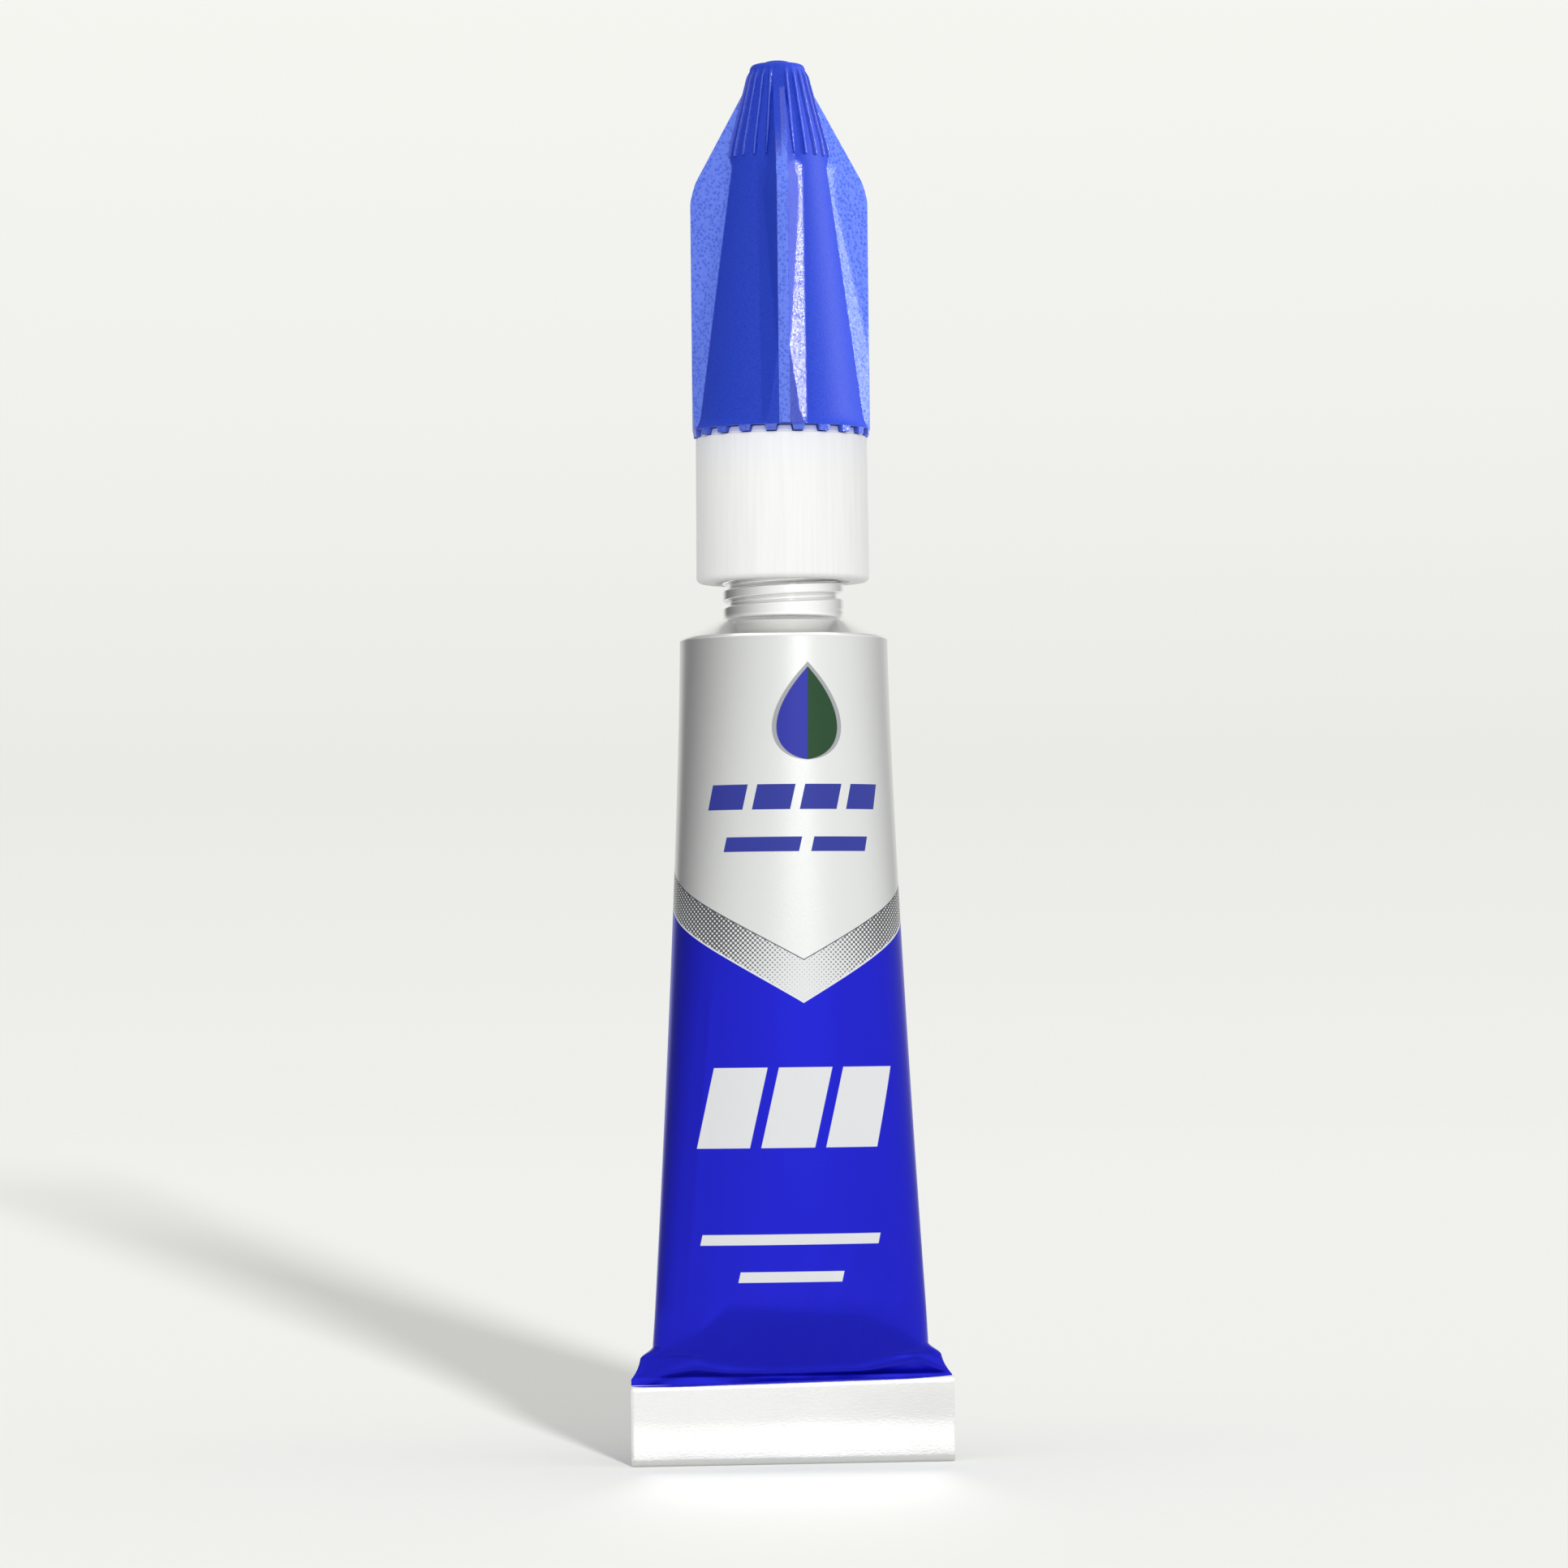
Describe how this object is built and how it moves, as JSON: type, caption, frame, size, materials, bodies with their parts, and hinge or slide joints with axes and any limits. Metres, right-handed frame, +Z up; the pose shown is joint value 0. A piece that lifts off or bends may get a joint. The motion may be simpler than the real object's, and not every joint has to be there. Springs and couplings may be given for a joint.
{
  "type": "super glue tube",
  "caption": "Collapsible metal glue tube with a rolled flat tail, a threaded neck, a piercing screw-on nozzle and a winged pull-off cap.",
  "frame": {"origin": "middle of the folded tail's foot, on the surface that the tube stands on", "axes": "+Z up along the tube towards the cap, +X along the width of the tail, -Y out of the printed front"},
  "size_m": [0.0188, 0.012, 0.0811],
  "materials": {
    "printed_aluminium": "satin",
    "bare_foil": "gloss",
    "sealing_compound": "matte",
    "clear_gel": "gloss",
    "white_plastic": "satin",
    "blue_plastic": "satin"
  },
  "bodies": {
    "tube": {"tube_shell": "printed_aluminium", "neck_membrane": "bare_foil", "tail_sealant": "sealing_compound", "gel_fill": "clear_gel"},
    "spout": {"nozzle_spout": "white_plastic"},
    "collar": {"nozzle_collar": "white_plastic"},
    "cap": {"cap": "blue_plastic"}
  },
  "joints": [
    {"name": "nozzle_advance", "type": "slide", "parent": "tube", "child": "spout", "axis": [0, 0, 1], "range_m": [-0.002, 0.005], "deforming": ["neck_membrane"]},
    {"name": "nozzle_turn", "type": "hinge", "parent": "spout", "child": "collar", "pos_m": [0, 0, 0.055], "axis": [0, 0, 1], "range_deg": [-721, 1801]},
    {"name": "cap_pull", "type": "slide", "parent": "collar", "child": "cap", "axis": [0, 0, 1], "range_m": [0, 0.024]}
  ],
  "couplings": [
    {"joint": "nozzle_turn", "follows": "nozzle_advance", "rad_per_m": 6283.2}
  ]
}
